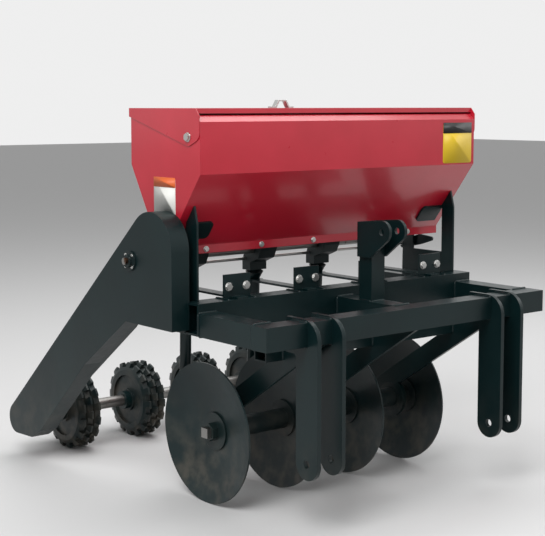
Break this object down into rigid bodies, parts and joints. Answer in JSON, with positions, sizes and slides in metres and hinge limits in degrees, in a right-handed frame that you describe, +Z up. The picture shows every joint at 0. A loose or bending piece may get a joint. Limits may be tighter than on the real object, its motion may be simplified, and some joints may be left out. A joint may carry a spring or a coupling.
{
  "type": "tractor seed planter",
  "caption": "Three-point tractor seed planter: folded seed hopper with hinged lid over a beam frame, a dished disc gang in front and notched packer wheels driving the seed metering by chain.",
  "frame": {"origin": "on the ground under the middle of the machine, between its outermost points", "axes": "+Z up, +X to the machine's right side across its width, +Y to the rear where the packer wheels run, the tractor is on the -Y side"},
  "size_m": [1.1576, 1.392, 1.153],
  "materials": {
    "red_paint": "gloss powder coat",
    "black_paint": "gloss black enamel",
    "zinc": "zinc plated",
    "steel": "plain turned steel",
    "cast_iron": "black painted casting"
  },
  "bodies": {
    "root": {"front_beam": "black_paint", "rear_beam": "black_paint", "side_rails": "black_paint", "centre_rail": "black_paint", "lower_beam": "black_paint", "frame_caps": "black_paint", "drag_arms": "black_paint", "disc_bearings": "cast_iron", "hitch_leg_left": "black_paint", "hitch_leg_right": "black_paint", "mast_post": "black_paint", "mast_plates": "black_paint", "hopper_front": "red_paint", "hopper_rear": "red_paint", "hopper_floor": "red_paint", "hopper_ends": "red_paint", "hopper_brackets": "black_paint", "lid_pivot_bolts": "zinc", "seed_cups": "cast_iron", "drop_tube_1": "black_paint", "drop_tube_2": "black_paint", "drop_tube_3": "black_paint", "drop_tube_4": "black_paint", "row_brackets": "black_paint", "agitator_bearings": "cast_iron", "packer_arms": "black_paint", "packer_bearings": "cast_iron", "drive_chain": "steel", "agitator_chain": "steel", "idler_stud": "steel", "guard_back": "black_paint", "guard_cover": "black_paint", "feed_bearing": "cast_iron", "frame_bolts": "zinc", "hopper_bolts": "zinc", "guard_bolts": "zinc"},
    "lid": {"lid": "red_paint", "lid_handle": "zinc"},
    "disc_gang": {"disc_axle": "steel", "disc_spools": "cast_iron", "axle_nuts": "black_paint", "disc_blade_1": "black_paint", "disc_blade_2": "black_paint", "disc_blade_3": "black_paint", "disc_blade_4": "black_paint"},
    "packer": {"packer_shaft": "steel", "packer_collars": "black_paint", "packer_sprocket": "steel", "packer_wheels_1": "cast_iron", "packer_wheels_2": "cast_iron", "packer_wheels_3": "cast_iron", "packer_wheels_4": "cast_iron"},
    "feed_drive": {"feed_shaft": "steel", "feed_rollers": "cast_iron", "feed_sprockets": "steel"},
    "agitator": {"agitator_shaft": "steel", "agitator_sprocket": "steel"},
    "idler": {"idler_sprocket": "steel"},
    "rate_gate": {"gate_shaft": "zinc", "rate_lever": "black_paint"}
  },
  "joints": [
    {"name": "lid_hinge", "type": "hinge", "parent": "root", "child": "lid", "pos_m": [0.0347, -0.321, 1.052], "axis": [1, 0, 0], "range_deg": [0, 95]},
    {"name": "disc_gang_spin", "type": "hinge", "parent": "root", "child": "disc_gang", "pos_m": [0.0347, -0.213, 0.2032], "axis": [1, 0, 0], "continuous": true},
    {"name": "packer_spin", "type": "hinge", "parent": "root", "child": "packer", "pos_m": [0.0347, 0.569, 0.127], "axis": [1, 0, 0], "continuous": true},
    {"name": "feed_spin", "type": "hinge", "parent": "root", "child": "feed_drive", "pos_m": [0.0347, -0.118, 0.705], "axis": [1, 0, 0], "continuous": true},
    {"name": "agitator_spin", "type": "hinge", "parent": "root", "child": "agitator", "pos_m": [0.0347, -0.194, 0.776], "axis": [1, 0, 0], "continuous": true},
    {"name": "idler_spin", "type": "hinge", "parent": "root", "child": "idler", "pos_m": [-0.5253, -0.1358, 0.61509], "axis": [1, 0, 0], "continuous": true},
    {"name": "rate_gate_turn", "type": "hinge", "parent": "root", "child": "rate_gate", "pos_m": [0.0347, -0.082, 0.676], "axis": [1, 0, 0], "range_deg": [0, 18]}
  ],
  "couplings": [
    {"joint": "feed_spin", "follows": "packer_spin", "ratio": 0.54546},
    {"joint": "agitator_spin", "follows": "packer_spin", "ratio": 0.40909},
    {"joint": "idler_spin", "follows": "packer_spin", "ratio": -1.2}
  ]
}
